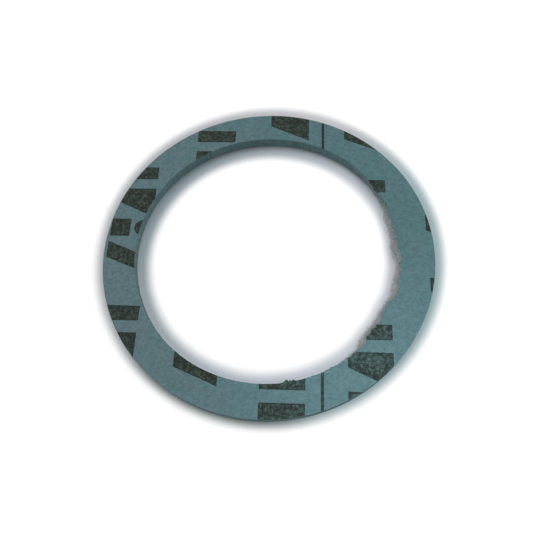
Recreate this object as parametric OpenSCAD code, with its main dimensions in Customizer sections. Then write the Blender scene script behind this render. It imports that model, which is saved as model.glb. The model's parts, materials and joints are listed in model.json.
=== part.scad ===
// Flat sealing ring for a screw-in heating element, cut from compressed-fibre sheet.
// It lies on its plain face, with the printed face up. The origin is the middle of the
// plain face, and +Z runs through the bore towards the printed face.
// Most of the bore is cut clean. One stretch of its edge, on the +X side, was torn: a thin
// lip was left standing in the bore there, broken by tears and by the cutter's chatter.

/* [Ring] */
// Outside diameter
outer_d = 52; // [48:0.5:80]
// Bore diameter, which clears a G 1 1/4 thread
bore_d = 42; // [30:0.5:46]
// Thickness of the fibre sheet
sheet_t = 2; // [1:0.25:4]

/* [Cut edges] */
// Radius that the cutter rolled over along both edges of the printed face
roll_r = 0.15; // [0.05:0.05:0.4]
// Chamfer where the cut broke out along both edges of the plain face
break_c = 0.1; // [0.05:0.05:0.4]

/* [Torn edge of the bore] */
// Angle at which the torn stretch starts, anticlockwise from +X
torn_from = -52; // [-70:1:-30]
// Angle at which the torn stretch ends
torn_to = 44; // [20:1:60]
// Height of the lip left standing in the bore
lip_h = 0.2; // [0.1:0.05:0.5]
// Depth of the deepest tear behind the edge of the lip
tear_depth = 0.7; // [0.3:0.1:1.5]
// Slope of the torn faces, which go deeper towards the plain face
tear_slope = 6; // [0:1:15]
// Pitch of the chatter teeth along the edge
tooth_pitch = 1.9; // [1:0.1:3]
// Depth of the chatter teeth
tooth_depth = 0.3; // [0.1:0.05:0.6]

/* [Flake on the bore's edge] */
// Angle of the small flake that stands apart from the torn stretch
flake_at = -88; // [-110:1:-80]
// Width of the flake along the edge
flake_w = 2.4; // [1:0.2:4]

/* [Hidden] */
$fn = 180;
outer_r = outer_d / 2;
bore_r = bore_d / 2;
band_w = outer_r - bore_r;
// Length along the bore's edge that one degree spans
mm_per_degree = PI * bore_d / 360;
// How deep the lip is rooted in the ring, past the rolled and chamfered edges
lip_root = roll_r + break_c + lip_h;
// How far a cutter reaches past what it cuts
reach = 0.5;
// Broad tears: degrees after the start of the torn stretch, width in mm, share of tear_depth
TEARS = [[0, 1.8, 0.7], [5.5, 1.2, 0.5], [29, 2.6, 1], [42, 1.8, 0.8], [67, 1.6, 0.6]];
// Degrees after the start of the torn stretch at which the chatter teeth begin
CHATTER_AFTER = 72;

// Half of the ring's section: rolled corners at the printed face, chamfered at the plain one
module ring_section() {
    difference() {
        union() {
            translate([bore_r, 0]) square([band_w, sheet_t - roll_r]);
            translate([bore_r + roll_r, 0]) square([band_w - 2 * roll_r, sheet_t]);
            for (x = [bore_r + roll_r, outer_r - roll_r])
                translate([x, sheet_t - roll_r]) circle(r = roll_r);
        }
        polygon([[bore_r, 0], [bore_r + break_c, 0], [bore_r, break_c]]);
        polygon([[outer_r, 0], [outer_r - break_c, 0], [outer_r, break_c]]);
    }
}

// Sheet left standing in the bore between two angles, with square edges
module lip(from, to) {
    rotate([0, 0, from]) rotate_extrude(angle = to - from)
        translate([bore_r - lip_h, 0]) square([lip_h + lip_root, sheet_t]);
}

// Cutter through the sheet at an angle: points are [depth behind the lip's edge, place along it]
module edge_cutter(angle, points) {
    rotate([0, 0, angle]) translate([bore_r - lip_h, 0, sheet_t]) rotate([0, tear_slope, 0])
        translate([0, 0, -sheet_t - reach]) linear_extrude(sheet_t + 2 * reach) polygon(points);
}

// Broad tear with a blunt, uneven bottom
module tear(angle, width, depth) {
    edge_cutter(angle, [
        [-reach, -width / 2], [0, -width / 2], [depth, -width / 5],
        [0.7 * depth, width / 4], [0, width / 2], [-reach, width / 2]
    ]);
}

// Saw-tooth cut with one steep side
module tooth(angle) {
    edge_cutter(angle, [
        [-reach, 0], [tooth_depth, 0], [0, 0.8 * tooth_pitch], [-reach, 0.8 * tooth_pitch]
    ]);
}

module gasket_ring() {
    color([0.36, 0.47, 0.48]) difference() {
        union() {
            rotate_extrude() ring_section();
            lip(torn_from, torn_to);
            lip(flake_at - flake_w / 2 / mm_per_degree, flake_at + flake_w / 2 / mm_per_degree);
        }
        for (t = TEARS) tear(torn_from + t[0], t[1], t[2] * tear_depth);
        for (a = [torn_from + CHATTER_AFTER : tooth_pitch / mm_per_degree : torn_to]) tooth(a);
        tear(flake_at, flake_w / 2, 0.5 * tear_depth);
    }
}

gasket_ring();
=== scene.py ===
"""Printed fibre gasket with a torn bore edge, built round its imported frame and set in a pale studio."""

import json
import math
import random

import bpy
from bpy.props import FloatProperty, FloatVectorProperty, IntProperty, PointerProperty
from mathutils import Matrix, Vector, noise


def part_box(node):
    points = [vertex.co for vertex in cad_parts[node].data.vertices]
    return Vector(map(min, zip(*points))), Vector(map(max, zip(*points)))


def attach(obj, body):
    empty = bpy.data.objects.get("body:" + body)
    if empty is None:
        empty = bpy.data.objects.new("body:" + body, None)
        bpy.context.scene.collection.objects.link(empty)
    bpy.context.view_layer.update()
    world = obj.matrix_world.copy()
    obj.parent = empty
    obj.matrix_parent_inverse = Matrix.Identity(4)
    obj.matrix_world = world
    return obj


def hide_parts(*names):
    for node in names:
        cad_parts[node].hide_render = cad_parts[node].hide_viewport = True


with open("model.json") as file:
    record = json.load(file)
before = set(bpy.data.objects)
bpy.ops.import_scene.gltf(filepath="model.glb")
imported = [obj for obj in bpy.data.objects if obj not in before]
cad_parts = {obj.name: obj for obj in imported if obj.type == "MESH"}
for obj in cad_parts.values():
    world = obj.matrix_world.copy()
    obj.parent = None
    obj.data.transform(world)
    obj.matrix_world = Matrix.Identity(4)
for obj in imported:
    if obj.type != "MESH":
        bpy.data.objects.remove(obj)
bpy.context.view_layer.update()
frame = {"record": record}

bl_info = {
    "name": "Heating element gasket",
    "version": (1, 0, 0),
    "blender": (4, 5, 0),
    "location": "3D View > Sidebar > Gasket",
    "description": "Models a printed fibre gasket with a torn bore edge, and a pale studio to show it in",
    "category": "Object",
}

MM = 0.001
# What the properties that hold a length or a colour share
LENGTH = {"unit": "LENGTH", "precision": 5}
COLOUR = {"subtype": "COLOR", "size": 4}
NODE = "gasket_ring"
BODY = "root"
RING_LOW, RING_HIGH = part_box(NODE)
BORE = next(mount for mount in frame["record"]["mounts"] if mount["name"] == "bore")

# Stretches of the ring, in degrees anticlockwise from +X, and the step of their facets: fine at the tear
STRETCHES = ((-95, 50, 0.125), (50, 265, 1.0))
# Skin left standing in the bore along the torn stretch: degrees, and mm past the clean bore
TORN_SKIN = (
    (-84, 0.0), (-76, 0.08), (-52, 0.12), (-50.5, 0.65), (-45, 0.75), (-43, 0.5), (-40, 0.5), (-36, 1.0),
    (-32, 0.9), (-30, 0.2), (-25, 0.0), (-21, 0.4), (-18, 0.25), (-10, 0.25), (-6, 0.75), (4, 0.8),
    (8, 0.5), (11, 0.6), (14, 0.35), (20.5, 0.25), (24.5, 0.6), (30, 0.35), (34, 0.2), (45, 0.0),
)
# Core of the sheet left standing under that skin, in the same terms
TORN_CORE = (
    (-84, 0.0), (-68, 0.1), (-56, 0.35), (-52, 0.85), (-46, 1.05), (-37, 1.05), (-28, 0.5), (-23, 0.9),
    (-20, 0.6), (-11, 0.5), (-7, 1.15), (-3, 1.25), (5, 1.2), (12, 1.2), (15, 0.8), (20, 0.55), (25, 0.3),
    (29, 0.1), (46, 0.0),
)
# Small flake with two points that stands apart from that stretch, in the same terms
FLAKE_SKIN = ((-91, 0.0), (-88.8, 0.1), (-87.7, 0.42), (-87.2, 0.12), (-85.2, 0.42), (-84.2, 0.0))
# Teeth along the torn skin: share of the rag, and teeth to the mm
SKIN_TEETH = ((1.0, 1.6), (0.8, 4.5), (0.5, 12.0))
# Lumps of the torn core: height in mm, and lumps to the mm along the edge; the plies flatten them
CORE_LUMPS = ((0.16, 1.3), (0.09, 4.0))
LUMP_FLATNESS = 3.5
# Angles between which the tear turns from ragged and fuzzy to smooth, and the share of its rag lost by then
SMOOTH_TEAR = (-9, 5)
SMOOTH_LOSS = 0.65
# Angles between which dye spreads over the torn core at the plain face, and its lead at the printed one
CORE_FADE = (14, 34)
FADE_LEAD = 14
# Share of the torn core that it covers in the end
DYE_COVER = 0.9
# Droop of the torn skin's free edge, as a share of how far it stands out
DROOP = 0.25
# Seed of the loose fibres' places
FIBRE_SEED = 11
# Marks of one repeat of the sheet's print, in mm across and along its row:
# middle, half size, and lean of either end
PRINT_BLOCKS = (
    (0.0, 1.3, 3.3, 1.2, 0.0, 0.0),
    (0.0, 6.2, 3.3, 1.9, 0.0, 0.45),
    (-1.7, 11.6, 1.6, 1.6, 0.0, 0.0),
    (0.0, 16.8, 3.3, 1.4, -0.4, 0.4),
)
# Dot in the same repeat: middle and radius
PRINT_DOT = (1.9, 11.6, 1.4)
# Rows from one thin rule to the next, and mm from the rule to the end of its row's band
RULE_EVERY = 3.0
RULE_GAP = 0.6
# Where the painted light on the sheet is brightest, in mm, and how far from there it starts and stops
# fading
PAINTED_LIGHT_CENTRE = (11.5, -21.5, 2.0)
PAINTED_LIGHT_REACH = (2.0, 28.0)
# Direction in which the bore's wall has the most painted shade, in degrees anticlockwise from +X
CUT_SHADE_TURN = 98
# Direction in which the outer shadow turns neutral, and mm to either side of the middle over which it does
NEUTRAL_TURN = 129
NEUTRAL_SPREAD = 9.0
# Shares of the bore's radius past which its wall has painted shade, and the floor's painted shadow is pale
# and wide
CUT_SHADE_FROM = 0.35
PALE_FROM = 0.7
WIDE_FROM = 0.5
# Fibre and its rubber binder: matt, with little gloss
MATT_FIBRE = {"IOR": 1.5, "Specular IOR Level": 0.3}
# Floor, key lamp and the camera's sensor: metres, and millimetres for the sensor
FLOOR_SIZE = 1.6
KEY_PLACE = (0.11, -0.09, 0.12)
KEY_SIZE = 0.08
SENSOR_WIDTH = 36


def linear(code):
    """A six-digit sRGB hex colour as linear red, green and blue, and full alpha."""
    channels = [int(code[i : i + 2], 16) / 255 for i in (0, 2, 4)]
    light = [c / 12.92 if c <= 0.04045 else ((c + 0.055) / 1.055) ** 2.4 for c in channels]
    return (*light, 1.0)


def add_node(tree, kind, settings=None):
    """Add one shader node: settings go to its properties and inputs, nodes and sockets feed inputs."""
    node = tree.nodes.new("ShaderNode" + kind)
    for name, value in (settings or {}).items():
        if isinstance(value, bpy.types.Node):
            value = value.outputs[0]
        if isinstance(value, bpy.types.NodeSocket):
            tree.links.new(value, node.inputs[name])
        elif isinstance(name, int) or name in node.inputs:
            node.inputs[name].default_value = value
        else:
            setattr(node, name, value)
    return node


def calculate(tree, operation, *operands):
    """Work out a number from numbers and from what other nodes give."""
    return add_node(tree, "Math", {"operation": operation, **dict(enumerate(operands))})


def measure(tree, operation, *operands):
    """Work out a number from vectors."""
    settings = {"operation": operation, **dict(enumerate(operands))}
    return add_node(tree, "VectorMath", settings).outputs["Value"]


def scaled(tree, vector, share):
    """A colour or a place, times a share."""
    return add_node(tree, "VectorMath", {"operation": "SCALE", 0: vector, "Scale": share})


def mix(tree, share, first, second):
    """Colour that goes from a first one to a second while a share goes from zero to one."""
    return add_node(tree, "Mix", {"data_type": "RGBA", 0: share, 6: first, 7: second}).outputs[2]


def remap(tree, value, start, end, low=0.0, high=1.0, curve="LINEAR"):
    """Low to high while a value goes from start to end, and no further."""
    limits = {"From Min": start, "From Max": end, "To Min": low, "To Max": high}
    return add_node(tree, "MapRange", {"interpolation_type": curve, "Value": value, **limits})


def blotches(tree, place, size, detail, roughness=0.5):
    """Noise in blotches about as many mm across as the size says, with finer ones in them."""
    settings = {"Vector": place, "Scale": 1 / size, "Detail": detail, "Roughness": roughness}
    return add_node(tree, "TexNoise", settings).outputs["Fac"]


def towards(tree, millimetres, turn):
    """Distance in mm along a direction, given as its angle anticlockwise from +X."""
    return measure(tree, "DOT_PRODUCT", millimetres, (math.cos(turn), math.sin(turn), 0.0))


def side_ramp(tree, millimetres, turn, start, radius, low=0.0, high=1.0, curve="LINEAR"):
    """Low to high along a direction, between a share of a radius and the whole of it."""
    return remap(tree, towards(tree, millimetres, turn), start * radius, radius, low, high, curve)


def radius_of(tree, millimetres):
    """Distance in mm from the bore's axis, near enough at the ring's small height."""
    return measure(tree, "LENGTH", millimetres)


def outer_half(tree, millimetres, shape):
    """One outside the middle of the ring's band, else zero."""
    middle = (shape.outer_radius + shape.bore_radius) / 2 / MM
    return calculate(tree, "GREATER_THAN", radius_of(tree, millimetres), middle)


class GasketShape(bpy.types.PropertyGroup):
    """Sizes of the ring and of its torn edge"""

    outer_radius: FloatProperty(
        name="Outer radius", description="Outside of the ring", **LENGTH,
        default=(RING_HIGH.y - RING_LOW.y) / 2,
    )
    bore_radius: FloatProperty(
        name="Bore radius", description="Clean part of the bore", **LENGTH,
        default=BORE["dims"]["r_mm"] * MM,
    )
    thickness: FloatProperty(
        name="Thickness", description="Thickness of the fibre sheet", **LENGTH,
        default=RING_HIGH.z - RING_LOW.z,
    )
    roll: FloatProperty(
        name="Edge roll", description="Radius rolled over along the edges of the printed face", **LENGTH,
        default=0.15 * MM,
    )
    chamfer: FloatProperty(
        name="Break-out chamfer", description="Chamfer along the edges of the plain face", **LENGTH,
        default=0.1 * MM,
    )
    flake_core: FloatProperty(
        name="Flake core", description="Most that the core stands into the bore under the flake",
        **LENGTH, default=0.2 * MM,
    )
    skin: FloatProperty(
        name="Skin", description="Thickness of the printed skin that tore away from the core", **LENGTH,
        default=0.5 * MM,
    )
    rag: FloatProperty(
        name="Rag", description="Height of the teeth along the torn skin", **LENGTH, default=0.25 * MM,
    )
    tufts: IntProperty(
        name="Tufts", description="Places along the torn edge that are tried for a tuft of loose fibre",
        default=760,
    )
    fibre_width: FloatProperty(
        name="Fibre width",
        description="Width of a loose fibre, drawn thicker than life so that it shows", unit="LENGTH",
        precision=6, default=0.028 * MM,
    )
    fibre_length: FloatProperty(
        name="Fibre length", description="Length of the longest loose fibre", **LENGTH, default=0.75 * MM,
    )


class GasketPrint(bpy.types.PropertyGroup):
    """Layout of the rows of plain marks that the sheet was printed with before the ring was cut from it"""

    turn: FloatProperty(
        name="Turn", description="Turn of the sheet's rows", subtype="ANGLE", default=math.radians(8),
    )
    row_pitch: FloatProperty(
        name="Row pitch", description="Distance between two rows", **LENGTH, default=12.6 * MM,
    )
    repeat: FloatProperty(
        name="Repeat", description="Length along a row after which its marks repeat", **LENGTH,
        default=24.8 * MM,
    )
    stagger: FloatProperty(
        name="Stagger", description="Shift along the row from each row to the next", **LENGTH,
        default=7.6 * MM,
    )
    across: FloatProperty(
        name="Across", description="Where the rows lie under the middle of the ring", **LENGTH,
        default=3.2 * MM,
    )
    along: FloatProperty(
        name="Along", description="Where the repeats start under the middle of the ring", **LENGTH,
        default=19.2 * MM,
    )
    rule_width: FloatProperty(
        name="Rule width", description="Width of the thin rule beside every third row", **LENGTH,
        default=0.5 * MM,
    )


class GasketFinish(bpy.types.PropertyGroup):
    """Colours of the sheet, its ink and its edges, with painted light and shade among them"""

    sheet_blue: FloatVectorProperty(
        name="Bluer sheet", description="Bluer of the sheet's two shades", **COLOUR,
        default=linear("5b7378"),
    )
    sheet_green: FloatVectorProperty(
        name="Greener sheet", description="Greener of the sheet's two shades", **COLOUR,
        default=linear("507377"),
    )
    # Painted light: the sheet's colour where a broad pool of light is painted on it
    sheet_painted_light: FloatVectorProperty(
        name="Paler sheet", description="Sheet where its dye is palest", **COLOUR,
        default=linear("5f8389"),
    )
    speck: FloatVectorProperty(
        name="Specks", description="Dark specks of filler in the sheet", **COLOUR,
        default=linear("34484d"),
    )
    ink_dark: FloatVectorProperty(
        name="Full ink", description="Ink where it lies thick", **COLOUR, default=linear("0b1009"),
    )
    ink_pale: FloatVectorProperty(
        name="Thin ink", description="Ink where the fibres show through", **COLOUR,
        default=linear("415649"),
    )
    cut: FloatVectorProperty(
        name="Cut edge", description="Raw edge of the cut sheet", **COLOUR, default=linear("51696b"),
    )
    # Painted shade: the raw edge where it is painted darker, towards the back of the bore and all round the
    # outside
    painted_shade_cut: FloatVectorProperty(
        name="Burnished edge", description="Raw edge where the cutter pressed hardest", **COLOUR,
        default=linear("3c5356"),
    )
    core: FloatVectorProperty(
        name="Torn core", description="Torn core of the sheet under its skin", **COLOUR,
        default=linear("868c8c"),
    )
    frayed: FloatVectorProperty(
        name="Frayed core", description="Loose, undyed fibre towards the plain face", **COLOUR,
        default=linear("b6b8bc"),
    )


class GasketStudio(bpy.types.PropertyGroup):
    """Camera, light, and the floor with its painted shadow"""

    distance: FloatProperty(
        name="Camera distance", description="From the camera to the middle of the printed face", **LENGTH,
        default=83.85 * MM,
    )
    elevation: FloatProperty(
        name="Camera elevation", description="Height of the camera above the horizon", subtype="ANGLE",
        default=math.radians(64.79),
    )
    pitch: FloatProperty(
        name="Camera pitch", description="How far below the middle of the ring the camera aims",
        subtype="ANGLE", default=math.radians(2.23),
    )
    yaw: FloatProperty(
        name="Camera yaw", description="How far left of the middle of the ring the camera aims",
        subtype="ANGLE", default=math.radians(-0.07),
    )
    roll: FloatProperty(
        name="Camera roll", description="Clockwise lean of the camera", subtype="ANGLE",
        default=math.radians(6.18),
    )
    lens: FloatProperty(
        name="Lens", description="Focal length on a sensor 36 mm wide, in millimetres", default=35.55,
    )
    sky: FloatProperty(
        name="Sky", description="Strength of the even light all round", default=0.8,
    )
    key: FloatProperty(
        name="Key lamp", description="Power of the soft lamp in watts", default=0.06,
    )
    floor: FloatVectorProperty(
        name="Floor", description="Colour of the floor", **COLOUR, default=linear("fafafa"),
    )
    # The floor's shadow is painted into its colour: the settings from here to the bore's reach shape it
    shadow: FloatVectorProperty(
        name="Shadow", description="Colour of the floor right beside the ring", **COLOUR,
        default=linear("9fb2b6"),
    )
    shadow_neutral: FloatVectorProperty(
        name="Neutral shadow", description="The same where it takes on none of the ring's hue", **COLOUR,
        default=linear("bdbec2"),
    )
    deep: FloatProperty(
        name="Deep", description="Share by which the outer shadow is deeper on one side", default=0.7,
    )
    deep_turn: FloatProperty(
        name="Deep turn", description="Direction of that side, anticlockwise from +X", subtype="ANGLE",
        default=math.radians(246),
    )
    deep_spread: FloatProperty(
        name="Deep spread", description="How far round from that direction the deeper shadow ends",
        subtype="ANGLE", default=math.radians(39),
    )
    bore_shadow: FloatVectorProperty(
        name="Bore shadow", description="Colour of the floor along the bore's darker side", **COLOUR,
        default=linear("8b989d"),
    )
    bore_glow: FloatVectorProperty(
        name="Bore glow", description="Colour of the floor along the bore's brighter side", **COLOUR,
        default=linear("d1d4dc"),
    )
    bore_turn: FloatProperty(
        name="Bore turn", description="Direction of the bore's darker side, anticlockwise from +X",
        subtype="ANGLE", default=math.radians(140),
    )
    foot: FloatProperty(
        name="Foot", default=0.48,
        description="Share by which the floor darkens at the back foot of the bore, and pales at the front",
    )
    foot_lift: FloatProperty(
        name="Foot lift", description="Share by which the floor pales all along the foot of the bore",
        default=0.14,
    )
    pale: FloatProperty(
        name="Pale", description="Share by which the bore's shadow is paler along its front",
        default=0.15,
    )
    pale_turn: FloatProperty(
        name="Pale turn", description="Direction of that front, anticlockwise from +X", subtype="ANGLE",
        default=math.radians(-76),
    )
    wide: FloatProperty(
        name="Wide", description="How much further the bore's shadow reaches on one side", **LENGTH,
        default=0.6 * MM,
    )
    wide_turn: FloatProperty(
        name="Wide turn", description="Direction of that side, anticlockwise from +X", subtype="ANGLE",
        default=math.radians(-48),
    )
    contact: FloatProperty(
        name="Contact", description="Share by which the floor darkens where the bore's wall stands on it",
        default=0.33,
    )
    contact_turn: FloatProperty(
        name="Contact turn", description="Direction in which that line is darkest, anticlockwise from +X",
        subtype="ANGLE", default=math.radians(50),
    )
    contact_reach: FloatProperty(
        name="Contact reach", description="Width of that line", **LENGTH, default=0.5 * MM,
    )
    thrown: FloatVectorProperty(
        name="Thrown", description="How far the ring's outer shadow is thrown", **LENGTH, size=2,
        default=(0.36 * MM, 0.32 * MM),
    )
    bore_thrown: FloatVectorProperty(
        name="Bore thrown", description="How far the shadow in the bore is thrown", **LENGTH, size=2,
        default=(0.03 * MM, -0.55 * MM),
    )
    hollow: FloatProperty(
        name="Hollow", description="How much further the shadow reaches in the hollow of the bore",
        **LENGTH, default=0.78 * MM,
    )
    floor_gain: FloatProperty(
        name="Floor gain", description="How much paler the floor is seen than it lights the ring",
        default=1.3,
    )
    shadow_reach: FloatProperty(
        name="Shadow reach", description="How far the soft edge of the ring's shadow reaches", **LENGTH,
        default=2.17 * MM,
    )
    bore_reach: FloatProperty(
        name="Bore reach", description="The same in the bore", **LENGTH, default=2.32 * MM,
    )


def start_piece():
    """Leave edit mode and deselect everything, so that the next operator acts on the new piece alone."""
    if bpy.context.mode != "OBJECT":
        bpy.ops.object.mode_set(mode="OBJECT")
    bpy.ops.object.select_all(action="DESELECT")


def pick(piece, test):
    """In edit mode, select the vertices of a piece that pass a test of their place, and what they bound."""
    bpy.ops.object.mode_set(mode="OBJECT")
    for part in (*piece.data.polygons, *piece.data.edges):
        part.select = False
    for vertex in piece.data.vertices:
        vertex.select = test(vertex.co)
    bpy.ops.object.mode_set(mode="EDIT")
    bpy.ops.mesh.select_mode(type="VERT")


def close_mesh():
    """In edit mode, merge the vertices that coincide and turn every face outwards."""
    bpy.ops.mesh.select_all(action="SELECT")
    bpy.ops.mesh.remove_doubles(threshold=0.001 * MM)
    bpy.ops.mesh.normals_make_consistent(inside=False)
    bpy.ops.object.mode_set(mode="OBJECT")


def ramp(value, low, high):
    """Zero below low, one above high, and smooth between."""
    t = min(max((value - low) / (high - low), 0.0), 1.0)
    return t * t * (3 - 2 * t)


def stand_at(outline, angle):
    """Height of an outline of (degrees, mm) points at an angle in degrees, straight between its points."""
    for (a0, h0), (a1, h1) in zip(outline, outline[1:]):
        if a0 <= angle <= a1:
            return h0 + (h1 - h0) * (angle - a0) / (a1 - a0)
    return 0.0


def skin_stand(shape, angle):
    """How far the torn skin stands into the bore at an angle in degrees, with its fine teeth."""
    height = max(stand_at(TORN_SKIN, angle), stand_at(FLAKE_SKIN, angle)) * MM
    turn = math.radians(angle)
    along = Vector((math.cos(turn), math.sin(turn), 0)) * shape.bore_radius / MM
    teeth = sum(share * noise.noise(along * pace) for share, pace in SKIN_TEETH)
    rag = shape.rag * (1 - SMOOTH_LOSS * ramp(angle, *SMOOTH_TEAR))
    return height + rag * teeth * ramp(height, 0.0, 0.2 * MM)


def core_stand(shape, angle):
    """How far the torn core under the skin stands into the bore at an angle in degrees."""
    flake = min(stand_at(FLAKE_SKIN, angle) * MM, shape.flake_core)
    return max(stand_at(TORN_CORE, angle) * MM, flake)


def ring_section(shape):
    """Draw the ring's section on the XZ plane: rolled at the printed face, chamfered at the plain one."""
    start_piece()
    band = shape.outer_radius - shape.bore_radius
    middle = (shape.outer_radius + shape.bore_radius) / 2
    top = shape.thickness
    bpy.ops.mesh.primitive_plane_add(size=1, location=(middle, 0, top / 2), rotation=(math.pi / 2, 0, 0))
    section = bpy.context.object
    section.scale = (band, top, 1)
    bpy.ops.object.transform_apply(location=True, rotation=True, scale=True)
    near = 0.01 * MM
    pick(section, lambda co: co.z > top / 2)
    bpy.ops.mesh.bevel(offset=shape.roll, segments=4, affect="VERTICES")
    pick(section, lambda co: co.z < near)
    bpy.ops.mesh.bevel(offset=shape.chamfer, segments=1, affect="VERTICES")
    # Cuts along each side of the section, closest at the bore's wall and on the face beside it
    cuts = (
        (12, lambda co: co.x < shape.bore_radius + near),
        (2, lambda co: co.x > shape.outer_radius - near),
        (4, lambda co: co.z < near),
        (1, lambda co: co.z > top - near),
        (11, lambda co: co.z > top - near and co.x < middle + near),
        (3, lambda co: co.z > top - near and co.x > middle - near),
    )
    for count, test in cuts:
        pick(section, test)
        bpy.ops.mesh.subdivide(number_cuts=count)
    bpy.ops.mesh.select_all(action="SELECT")
    bpy.ops.mesh.delete(type="ONLY_FACE")
    bpy.ops.object.mode_set(mode="OBJECT")
    return section


def turn_stretch(section, start, end, step):
    """Turn a copy of the section round the bore's axis from one angle to another, in degrees."""
    start_piece()
    section.select_set(True)
    bpy.context.view_layer.objects.active = section
    bpy.ops.object.duplicate()
    stretch = bpy.context.object
    stretch.rotation_euler.z = math.radians(start)
    bpy.ops.object.transform_apply(location=False, rotation=True, scale=False)
    bpy.ops.object.modifier_add(type="SCREW")
    screw = stretch.modifiers[-1]
    screw.angle = math.radians(end - start)
    screw.steps = round((end - start) / step)
    screw.render_steps = screw.steps
    bpy.ops.object.modifier_apply(modifier=screw.name)
    return stretch


def turn_ring(shape):
    """Turn the section into the whole ring, stretch by stretch, and close it."""
    section = ring_section(shape)
    stretches = [turn_stretch(section, *stretch) for stretch in STRETCHES]
    bpy.data.objects.remove(section)
    start_piece()
    for stretch in stretches:
        stretch.select_set(True)
    bpy.context.view_layer.objects.active = stretches[0]
    bpy.ops.object.join()
    piece = bpy.context.object
    piece.name = "printed_gasket"
    piece.data.name = piece.name
    bpy.ops.object.mode_set(mode="EDIT")
    close_mesh()
    return piece


def tear_bore(piece, shape):
    """Pull the bore's edge out of round where it was torn, the core mostly further than the skin."""
    mesh = piece.data
    torn = mesh.attributes.new("torn", "FLOAT", "POINT")
    # How far from the bore the pull and the bare fibre die out
    reach, frayed = 2.2 * MM, 0.7 * MM
    for vertex in mesh.vertices:
        co = vertex.co
        radius = math.hypot(co.x, co.y)
        inset = radius - shape.bore_radius
        if inset > reach:
            continue
        angle = math.degrees(math.atan2(co.y, co.x))
        skin, core = skin_stand(shape, angle), core_stand(shape, angle)
        if skin <= 0 and core <= 0:
            continue
        layer = Vector((co.x / MM, co.y / MM, LUMP_FLATNESS * co.z / MM))
        ragged = ramp(core, 0.0, 0.3 * MM)
        for height, pace in CORE_LUMPS:
            core += ragged * height * MM * noise.noise(layer * pace)
        # The skin's thickness wanders, and it passes into the core within a third of that
        ply = shape.skin * (1 + 0.6 * noise.noise(Vector((co.x, co.y, 0)) / MM * 0.9))
        share = ramp(co.z, shape.thickness - 1.3 * ply, shape.thickness - 0.7 * ply)
        hold = 1 - ramp(inset, 0.0, reach)
        pull = (core + (skin - core) * share) * hold
        scale = (radius - pull) / radius
        vertex.co.x *= scale
        vertex.co.y *= scale
        droop = DROOP * skin * ramp(shape.bore_radius - radius * scale, 0.0, 1.2 * MM)
        vertex.co.z -= droop * share
        dyed = ramp(angle + FADE_LEAD * co.z / shape.thickness, *CORE_FADE)
        # Bare fibre ends raggedly, sooner towards the plain face, and the flake is dyed through
        ends = 0.1 * MM * noise.noise(co / MM * 1.7) - 0.22 * MM * (1 - co.z / shape.thickness)
        bare = ramp(max(skin, core) + ends, 0.0, 0.12 * MM) * (1 - DYE_COVER * dyed)
        if angle < TORN_CORE[0][0]:
            bare = 0.0
        torn.data[vertex.index].value = bare * (1 - ramp(inset, 0.0, frayed))
    mesh.update()


def dress_ring(piece, shape, materials):
    """Give the printed face, the plain face and the cut edges their own materials."""
    for material in materials:
        piece.data.materials.append(material)
    # Least upward and downward part of the normals of a rolled edge and a flat face
    rolled, flat = 0.35, 0.9
    for face in piece.data.polygons:
        if face.normal.z > rolled and face.center.z > shape.thickness - 1.5 * shape.roll:
            face.material_index = 0
        elif face.normal.z < -flat and face.center.z < shape.chamfer / 2:
            face.material_index = 1
        else:
            face.material_index = 2
    bpy.ops.object.shade_smooth_by_angle(angle=math.radians(35))


def draw_fibres(shape):
    """Draw the tufts of fibre that stand out of the torn edge as tapered strands, and make them a mesh."""
    start_piece()
    chance = random.Random(FIBRE_SEED)
    strands = bpy.data.curves.new("torn_fibres", "CURVE")
    strands.dimensions = "3D"
    strands.bevel_depth = shape.fibre_width / 2
    strands.bevel_resolution = 0
    strands.use_fill_caps = True
    # How deep in the core a strand starts, and its number of straight lengths
    root, segments = 0.25 * MM, 5
    for _ in range(shape.tufts):
        middle = chance.uniform(TORN_CORE[0][0], TORN_CORE[-1][0])
        reach = shape.fibre_length * chance.uniform(0.3, 1.0)
        depth = chance.uniform(0.3 * shape.skin, 0.8 * shape.thickness)
        smooth = chance.random() < ramp(middle, *SMOOTH_TEAR)
        if smooth or core_stand(shape, middle) < chance.uniform(0.1, 0.6) * MM:
            continue
        for _ in range(chance.randint(3, 7)):
            angle = middle + chance.gauss(0, 0.5)
            stand = skin_stand(shape, angle) if depth < shape.skin else core_stand(shape, angle)
            if stand <= 0:
                continue
            turn = math.radians(angle)
            inwards = Vector((-math.cos(turn), -math.sin(turn), 0))
            sideways = Vector((math.sin(turn), -math.cos(turn), 0))
            lean, sag, curl = chance.gauss(0, 0.5), chance.uniform(0.0, 0.5), chance.gauss(0, 0.35)
            start = inwards * (stand - root - shape.bore_radius)
            start.z = shape.thickness - depth
            length = root + reach * chance.uniform(0.4, 1.0)
            spline = strands.splines.new("POLY")
            spline.points.add(segments)
            for i, point in enumerate(spline.points):
                t = i / segments
                place = start + length * (inwards * t + sideways * (lean * t + curl * t * t))
                place.z -= length * sag * t * t
                point.co = (*place, 1)
                point.radius = 1 - 0.7 * t
    piece = bpy.data.objects.new("torn_fibres", strands)
    bpy.context.collection.objects.link(piece)
    piece.select_set(True)
    bpy.context.view_layer.objects.active = piece
    bpy.ops.object.convert(target="MESH")
    bpy.ops.object.mode_set(mode="EDIT")
    close_mesh()
    bpy.ops.object.shade_smooth()
    return piece


def new_material(name):
    """An empty material with its tree, and Object coordinates in millimetres."""
    material = bpy.data.materials.new(name)
    material.use_nodes = True
    tree = material.node_tree
    tree.nodes.clear()
    millimetres = scaled(tree, add_node(tree, "TexCoord").outputs["Object"], 1 / MM)
    return material, tree, millimetres


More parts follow.
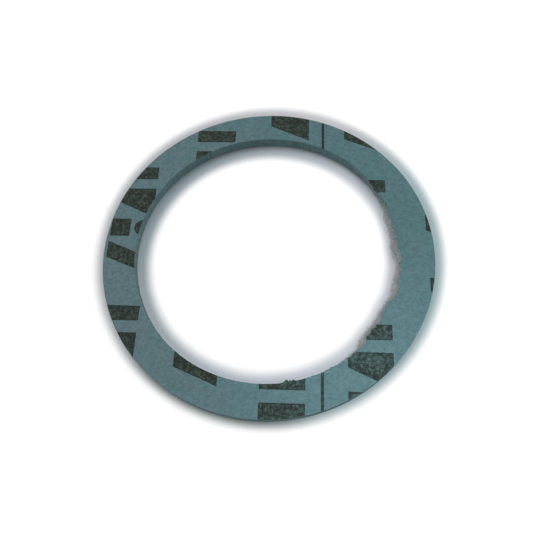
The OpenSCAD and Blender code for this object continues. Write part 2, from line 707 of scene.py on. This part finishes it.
def sheet_texture(tree, millimetres, finish):
    """Colour, relief and painted light patch of the calendered sheet: cloudy dye, fibres lying every way,
    specks.
    """
    clouds = blotches(tree, millimetres, 1.6, 2.0, 0.6)
    # The sheet is greener towards +X
    axes = add_node(tree, "SeparateXYZ", {0: millimetres})
    drift = calculate(tree, "MULTIPLY_ADD", axes.outputs["X"], 0.008, clouds)
    shade = remap(tree, drift, 0.3, 0.7)
    colour = mix(tree, shade, finish.sheet_blue, finish.sheet_green)
    # A broad pool of light is painted on the sheet, brightest round a point at the front right of the ring
    away = measure(tree, "DISTANCE", millimetres, PAINTED_LIGHT_CENTRE)
    palest, deepest = PAINTED_LIGHT_REACH
    painted_light_patch = remap(tree, away, deepest, palest, curve="SMOOTHSTEP")
    colour = mix(tree, painted_light_patch, colour, finish.sheet_painted_light)
    # Grain of the pressed surface is 0.3 to 0.6 mm across
    relief = blotches(tree, millimetres, 0.6, 3.0, 0.7)
    # Fibres are about 0.1 mm across the lay and 1 mm along it, in three directions
    for turn in (20, 80, 140):
        lay = add_node(
            tree, "Mapping",
            {"Vector": millimetres, "Rotation": (0, 0, math.radians(turn)), "Scale": (1.0, 9.0, 1.0)},
        )
        fibre = add_node(tree, "TexNoise", {"Vector": lay, "Scale": 1.1, "Detail": 2.0, "Distortion": 0.4})
        relief = calculate(tree, "MULTIPLY_ADD", fibre.outputs["Fac"], 0.35, relief)
    light = remap(tree, relief, 0.7, 1.35, 0.74, 1.26)
    colour = scaled(tree, colour, light)
    # Specks are 0.1 to 0.2 mm across, in about one cell of 2.2 mm in four
    cells = add_node(tree, "TexVoronoi", {"Vector": millimetres, "Scale": 1 / 2.2})
    chance = add_node(tree, "SeparateColor", {"Color": cells.outputs["Color"]})
    size = remap(tree, chance.outputs[0], 0.72, 1.0, 0.0, 0.08)
    inside = calculate(tree, "SUBTRACT", size, cells.outputs["Distance"])
    speck = remap(tree, inside, -0.01, 0.02, 0.0, 0.6)
    colour = mix(tree, speck, colour, finish.speck)
    return colour, relief, painted_light_patch


def frayed_edge(tree, millimetres, finish, colour):
    """Let undyed fibre show through in ragged patches along the torn edge."""
    torn = add_node(tree, "Attribute", {"attribute_name": "torn"})
    # Patches are about 0.3 mm across
    rag = blotches(tree, millimetres, 0.3, 3.0)
    worn = calculate(tree, "MULTIPLY_ADD", rag, 0.9, torn.outputs["Fac"])
    amount = remap(tree, worn, 1.3, 1.5, 0.0, 0.85)
    return mix(tree, amount, colour, finish.core)


def print_depth(tree, millimetres, layout):
    """Distance in mm inside the nearest printed mark, below zero outside: rows of blocks, dots, rules."""
    pitch, repeat = layout.row_pitch / MM, layout.repeat / MM
    shift = (layout.across / MM, layout.along / MM, 0)
    turned = add_node(
        tree, "Mapping", {"Vector": millimetres, "Rotation": (0, 0, layout.turn), "Location": shift},
    )
    # Ink creeps along the fibres, so a mark's edge wanders by about 0.05 mm
    creep = add_node(tree, "TexNoise", {"Vector": millimetres, "Scale": 1 / 0.35, "Detail": 2.0})
    place = add_node(
        tree, "VectorMath",
        {"operation": "MULTIPLY_ADD", 0: creep.outputs["Color"], 1: (0.2, 0.2, 0.0), 2: turned},
    )
    axes = add_node(tree, "SeparateXYZ", {0: place})
    row = calculate(tree, "DIVIDE", axes.outputs["X"], pitch)
    row = calculate(tree, "FLOOR", row)
    across = calculate(tree, "FLOORED_MODULO", axes.outputs["X"], pitch)
    across = calculate(tree, "SUBTRACT", across, pitch / 2)
    along = calculate(tree, "MULTIPLY", row, layout.stagger / MM)
    along = calculate(tree, "SUBTRACT", along, axes.outputs["Y"])
    along = calculate(tree, "FLOORED_MODULO", along, repeat)

    dot_across, dot_along, dot_radius = PRINT_DOT
    spot = add_node(tree, "CombineXYZ", {"X": across, "Y": along})
    apart = measure(tree, "DISTANCE", spot, (dot_across, dot_along, 0.0))
    depth = calculate(tree, "SUBTRACT", dot_radius, apart)

    for middle_across, middle_along, half_across, half_along, lean_start, lean_end in PRINT_BLOCKS:
        side = calculate(tree, "SUBTRACT", across, middle_across)
        width = calculate(tree, "ABSOLUTE", side)
        block = calculate(tree, "SUBTRACT", half_across, width)
        ends = (
            ("ADD", lean_start, half_along - middle_along),
            ("SUBTRACT", lean_end, half_along + middle_along),
        )
        for operation, lean, end in ends:
            slant = calculate(tree, "MULTIPLY_ADD", side, lean, end)
            slant = calculate(tree, operation, slant, along)
            block = calculate(tree, "MINIMUM", block, slant)
        depth = calculate(tree, "MAXIMUM", depth, block)

    # The rule runs beside every third row, and is put out of the way in the others
    half_rule, skipped = layout.rule_width / 2 / MM, -9.0
    offset = calculate(tree, "SUBTRACT", across, pitch / 2 - RULE_GAP)
    offset = calculate(tree, "ABSOLUTE", offset)
    rule = calculate(tree, "SUBTRACT", half_rule, offset)
    third = calculate(tree, "FLOORED_MODULO", row, RULE_EVERY)
    third = calculate(tree, "GREATER_THAN", third, 0.5)
    rule = calculate(tree, "MULTIPLY_ADD", third, skipped, rule)
    return calculate(tree, "MAXIMUM", depth, rule)


def ink_over(tree, millimetres, finish, colour, depth, painted_light_patch):
    """Lay ink over a colour: mottled where the fibres take it unevenly, dark along a squeezed-out rim."""
    # Mottles are 0.1 to 0.4 mm across
    mottle = blotches(tree, millimetres, 0.45, 4.0, 0.75)
    thin = remap(tree, mottle, 0.45, 0.68)
    # The rim is about 0.2 mm wide
    rim = remap(tree, depth, 0.05, 0.3)
    thin = calculate(tree, "MULTIPLY", thin, rim)
    ink = mix(tree, thin, finish.ink_dark, finish.ink_pale)
    # Inside the painted pool of light the ink is paler too, with the sheet showing through in specks
    specks = remap(tree, thin, 0.0, 1.0, 0.12)
    worn = calculate(tree, "MULTIPLY", specks, painted_light_patch)
    body = remap(tree, worn, 0.0, 1.0, 0.97, 0.45)
    cover = remap(tree, depth, 0.0, 0.06)
    cover = calculate(tree, "MULTIPLY", cover, body)
    return mix(tree, cover, colour, ink), cover


def fibre_face(name, finish, layout=None):
    """Compressed-fibre sheet, calendered and dyed: matt and faintly cloudy, with fibres just showing."""
    material, tree, millimetres = new_material(name)
    colour, relief, painted_light_patch = sheet_texture(tree, millimetres, finish)
    roughness = remap(tree, relief, 0.7, 1.35, 0.82, 0.7)
    if layout:
        depth = print_depth(tree, millimetres, layout)
        colour, cover = ink_over(tree, millimetres, finish, colour, depth, painted_light_patch)
        # Ink is a little smoother than the sheet
        roughness = calculate(tree, "MULTIPLY_ADD", cover, -0.12, roughness)
    colour = frayed_edge(tree, millimetres, finish, colour)
    bump = add_node(tree, "Bump", {"Height": relief, "Strength": 0.5, "Distance": 0.02 * MM})
    surface = add_node(
        tree, "BsdfPrincipled",
        {**MATT_FIBRE, "Base Color": colour, "Roughness": roughness, "Normal": bump},
    )
    add_node(tree, "OutputMaterial", {"Surface": surface})
    return material


def cut_fibre(shape, finish):
    """Sheet cut through: dark raw edge with its plies as faint lines, painted shade, and a pale grey core
    where torn.
    """
    material, tree, millimetres = new_material("raw cut fibre edge")
    # Plies are about 0.2 mm thick and run on for several millimetres
    plies = add_node(tree, "Mapping", {"Vector": millimetres, "Scale": (0.35, 0.35, 5.0)})
    ply = blotches(tree, plies, 1.0, 3.0, 0.6)
    # Drag marks of the cutter are about 0.25 mm apart and run up the wall
    drags = add_node(tree, "Mapping", {"Vector": millimetres, "Scale": (4.0, 4.0, 0.3)})
    drag = blotches(tree, drags, 1.0, 2.0)
    relief = calculate(tree, "ADD", ply, drag)
    # Painted shade darkens the edge towards one side of the bore, and all round the outside
    edge = shape.bore_radius / MM
    cut_shade = side_ramp(tree, millimetres, math.radians(CUT_SHADE_TURN), CUT_SHADE_FROM, edge)
    cut_shade = calculate(tree, "MAXIMUM", cut_shade, outer_half(tree, millimetres, shape))
    colour = mix(tree, cut_shade, finish.cut, finish.painted_shade_cut)
    # Where it was torn, the core frays more, and is paler, towards the plain face; painted light also makes
    # it paler on the -Y side
    axes = add_node(tree, "SeparateXYZ", {0: millimetres})
    height = shape.thickness / MM
    fray_and_light = remap(tree, axes.outputs["Z"], 0.75 * height, 0.1 * height)
    painted_light_side = remap(tree, axes.outputs["Y"], 0.0, -10.0, 0.0, 0.4)
    fray_and_light = calculate(tree, "ADD", fray_and_light, painted_light_side)
    core = mix(tree, fray_and_light, finish.core, finish.frayed)
    torn = add_node(tree, "Attribute", {"attribute_name": "torn"})
    colour = mix(tree, torn.outputs["Fac"], colour, core)
    light = remap(tree, relief, 0.7, 1.3, 0.75, 1.25)
    colour = scaled(tree, colour, light)
    bump = add_node(tree, "Bump", {"Height": relief, "Strength": 0.7, "Distance": 0.05 * MM})
    surface = add_node(
        tree, "BsdfPrincipled", {**MATT_FIBRE, "Base Color": colour, "Roughness": 0.9, "Normal": bump},
    )
    add_node(tree, "OutputMaterial", {"Surface": surface})
    return material


def loose_fibre(finish):
    """Undyed fibre pulled out of the core: pale grey, matt, uneven along its length."""
    material, tree, millimetres = new_material("undyed loose fibre")
    # Its shade changes about every 0.5 mm
    patches = blotches(tree, millimetres, 0.5, 2.0)
    light = remap(tree, patches, 0.3, 0.7, 0.75, 1.2)
    colour = scaled(tree, finish.frayed[:3], light)
    surface = add_node(tree, "BsdfPrincipled", {**MATT_FIBRE, "Base Color": colour, "Roughness": 0.85})
    add_node(tree, "OutputMaterial", {"Surface": surface})
    return material


def seen_rays(tree):
    """One for rays that show the background, straight, mirrored or through glass, else zero."""
    path = add_node(tree, "LightPath")
    seen = path.outputs["Is Camera Ray"]
    for kind in ("Is Glossy Ray", "Is Transmission Ray"):
        seen = calculate(tree, "MAXIMUM", seen, path.outputs[kind])
    return seen


def shadow_gaps(tree, millimetres, shape, studio):
    """Distances in mm outside the ring's painted shadow and inside its bore, as a soft lamp by the camera
    would throw it.

    The painted shadow of the raised face is the foot's circle, spread and moved back. Set shifts move both
    a little, and the shadow in the bore reaches further in that hollow.
    """
    height = (studio.distance * math.sin(studio.elevation) + shape.thickness) / MM
    spread = height / (height - shape.thickness / MM)
    moved = (spread - 1) * studio.distance * math.cos(studio.elevation) / MM
    gaps = []
    sides = (
        (shape.outer_radius, 1.0, studio.thrown, 0.0),
        (shape.bore_radius, -1.0, studio.bore_thrown, studio.hollow / MM),
    )
    for radius, sign, (x, y), hollow in sides:
        circles = []
        for back, growth in ((0.0, 1.0), (moved, spread)):
            away = measure(tree, "DISTANCE", millimetres, (x / MM, y / MM + back, 0.0))
            edge = growth * radius / MM
            circles.append(calculate(tree, "MULTIPLY_ADD", away, sign, -sign * edge - hollow))
        gaps.append(calculate(tree, "MINIMUM", *circles))
    return gaps


def fade_out(tree, studio, shade, gap, reach):
    """Let a shadow's shade fade into the plain floor while the gap to the ring grows to its reach."""
    clear = remap(tree, gap, 0.0, reach / MM, curve="SMOOTHSTEP")
    return mix(tree, clear, shade, studio.floor)


def outer_shade(tree, millimetres, shape, studio, gap):
    """Floor outside the ring: its painted shadow turns from the ring's hue to neutral, deeper on one side.
    """
    neutral = side_ramp(tree, millimetres, math.radians(NEUTRAL_TURN), -1.0, NEUTRAL_SPREAD)
    shade = mix(tree, neutral, studio.shadow, studio.shadow_neutral)
    deeper = side_ramp(
        tree, millimetres, studio.deep_turn, math.cos(studio.deep_spread), shape.outer_radius / MM,
        1.0, 1 - studio.deep, "SMOOTHSTEP",
    )
    shade = scaled(tree, shade, deeper)
    return fade_out(tree, studio, shade, gap, studio.shadow_reach)


def bore_shade(tree, millimetres, shape, studio, gap):
    """Floor in the bore: its painted shadow is dark on one side, pale on the other, and darkest at the
    back.
    """
    edge = shape.bore_radius / MM
    dark = side_ramp(tree, millimetres, studio.bore_turn, -1.0, edge)
    shade = mix(tree, dark, studio.bore_glow, studio.bore_shadow)
    # Zero where the shadow starts to fade, one at the depth of the hollow behind that, and two at most
    near = remap(tree, gap, 0.0, -2 * studio.hollow / MM, 0.0, 2.0)
    # Painted shade darkens the floor at the back foot of the wall, and painted light pales it at the front
    # and all along
    back = towards(tree, millimetres, math.pi / 2)
    foot = calculate(tree, "MULTIPLY_ADD", back, -studio.foot / edge, studio.foot_lift)
    foot = calculate(tree, "MULTIPLY_ADD", foot, near, 1.0)
    # Along the front it is paler, and on one side it reaches further
    paler = side_ramp(tree, millimetres, studio.pale_turn, PALE_FROM, edge, 1.0, 1 + studio.pale)
    further = side_ramp(tree, millimetres, studio.wide_turn, WIDE_FROM, edge, 0.0, studio.wide / MM)
    gap = calculate(tree, "SUBTRACT", gap, further)
    # A thin painted contact shadow darkens the floor where the wall stands on it
    line = remap(tree, radius_of(tree, millimetres), edge - studio.contact_reach / MM, edge)
    side = side_ramp(tree, millimetres, studio.contact_turn, 0.0, edge, 0.0, -studio.contact)
    line = calculate(tree, "MULTIPLY_ADD", line, side, 1.0)
    for share in (foot, paler, line):
        shade = scaled(tree, shade, share)
    return fade_out(tree, studio, shade, gap, studio.bore_reach)


def white_card(shape, studio):
    """Matt white card: seen white, with the ring's soft shadow painted into its colour round the ring's
    circles.
    """
    material, tree, millimetres = new_material("matt white card")
    outside, inside = shadow_gaps(tree, millimetres, shape, studio)
    shade = mix(
        tree, outer_half(tree, millimetres, shape),
        bore_shade(tree, millimetres, shape, studio, inside),
        outer_shade(tree, millimetres, shape, studio, outside),
    )
    bright = scaled(tree, shade, studio.floor_gain)
    colour = mix(tree, seen_rays(tree), studio.floor, bright)
    card = add_node(tree, "BsdfDiffuse", {"Color": colour})
    add_node(tree, "OutputMaterial", {"Surface": card})
    return material


def even_sky(studio):
    """World that lights the ring evenly from all round and is seen as plain white."""
    world = bpy.data.worlds.new("even white light")
    world.use_nodes = True
    tree = world.node_tree
    tree.nodes.clear()
    dome = add_node(tree, "Background", {"Color": (1, 1, 1, 1), "Strength": studio.sky})
    white = add_node(tree, "Background", {"Color": (1, 1, 1, 1), "Strength": 1.0})
    mixed = add_node(tree, "MixShader", {0: seen_rays(tree), 1: dome, 2: white})
    add_node(tree, "OutputWorld", {"Surface": mixed})
    return world


class GASKET_OT_ring(bpy.types.Operator):
    """Model the printed ring with its torn bore edge"""

    bl_idname = "gasket.ring"
    bl_label = "Printed ring"

    def execute(self, context):
        scene = context.scene
        shape, finish, layout = scene.gasket_shape, scene.gasket_finish, scene.gasket_print
        piece = turn_ring(shape)
        tear_bore(piece, shape)
        dress_ring(
            piece, shape,
            (
                fibre_face("printed compressed fibre sheet", finish, layout),
                fibre_face("plain compressed fibre sheet", finish),
                cut_fibre(shape, finish),
            ),
        )
        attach(piece, BODY)
        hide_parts(NODE)
        return {"FINISHED"}


class GASKET_OT_fibres(bpy.types.Operator):
    """Draw the loose fibres along the torn edge of the bore"""

    bl_idname = "gasket.fibres"
    bl_label = "Loose fibres"

    def execute(self, context):
        piece = draw_fibres(context.scene.gasket_shape)
        piece.data.materials.append(loose_fibre(context.scene.gasket_finish))
        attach(piece, BODY)
        return {"FINISHED"}


class GASKET_OT_stage(bpy.types.Operator):
    """Set up the floor, the light and the camera"""

    bl_idname = "gasket.stage"
    bl_label = "Studio"

    def execute(self, context):
        studio, shape = context.scene.gasket_studio, context.scene.gasket_shape
        start_piece()
        bpy.ops.mesh.primitive_plane_add(size=FLOOR_SIZE)
        floor = context.object
        floor.name = "studio_floor"
        floor.data.materials.append(white_card(shape, studio))

        bpy.ops.object.light_add(type="AREA", location=KEY_PLACE)
        lamp = context.object
        lamp.name = "soft_key"
        lamp.data.shape = "DISK"
        lamp.data.size = KEY_SIZE
        lamp.data.energy = studio.key
        lamp.rotation_euler = (-lamp.location).to_track_quat("-Z", "Y").to_euler()
        lamp.visible_camera = False
        context.scene.world = even_sky(studio)

        back = Vector((0, -math.cos(studio.elevation), math.sin(studio.elevation)))
        bpy.ops.object.camera_add(location=Vector((0, 0, shape.thickness)) + back * studio.distance)
        camera = context.object
        camera.name = "photo_camera"
        camera.data.lens = studio.lens
        camera.data.sensor_width = SENSOR_WIDTH
        camera.data.clip_start = 1 * MM
        camera.data.clip_end = 10
        look = Matrix.Rotation(math.pi / 2 - studio.elevation, 3, "X")
        aim = Matrix.Rotation(studio.yaw, 3, "Y") @ Matrix.Rotation(-studio.pitch, 3, "X")
        lean = Matrix.Rotation(-studio.roll, 3, "Z")
        camera.rotation_euler = (look @ aim @ lean).to_euler()
        context.scene.camera = camera
        context.scene.view_settings.view_transform = "Standard"
        return {"FINISHED"}


class GASKET_PT_sidebar(bpy.types.Panel):
    """Sizes, print, colours and steps of the gasket"""

    bl_label = "Gasket"
    bl_space_type = "VIEW_3D"
    bl_region_type = "UI"
    bl_category = "Gasket"

    def draw(self, context):
        for place, group in GROUPS.items():
            box = self.layout.box()
            for name in group.__annotations__:
                box.prop(getattr(context.scene, place), name)
        for operator in OPERATORS:
            self.layout.operator(operator.bl_idname)


GROUPS = {
    "gasket_shape": GasketShape, "gasket_print": GasketPrint,
    "gasket_finish": GasketFinish, "gasket_studio": GasketStudio,
}
OPERATORS = (GASKET_OT_ring, GASKET_OT_fibres, GASKET_OT_stage)
CLASSES = (*GROUPS.values(), *OPERATORS, GASKET_PT_sidebar)


def register():
    """Make the classes known to Blender, and keep one of each property group on the scene."""
    for cls in CLASSES:
        bpy.utils.register_class(cls)
    for name, group in GROUPS.items():
        setattr(bpy.types.Scene, name, PointerProperty(type=group))


def unregister():
    """Undo register."""
    for name in GROUPS:
        delattr(bpy.types.Scene, name)
    for cls in reversed(CLASSES):
        bpy.utils.unregister_class(cls)


def main():
    """Build the gasket and its studio."""
    register()
    bpy.ops.gasket.ring()
    bpy.ops.gasket.fibres()
    bpy.ops.gasket.stage()


if __name__ == "__main__":
    main()
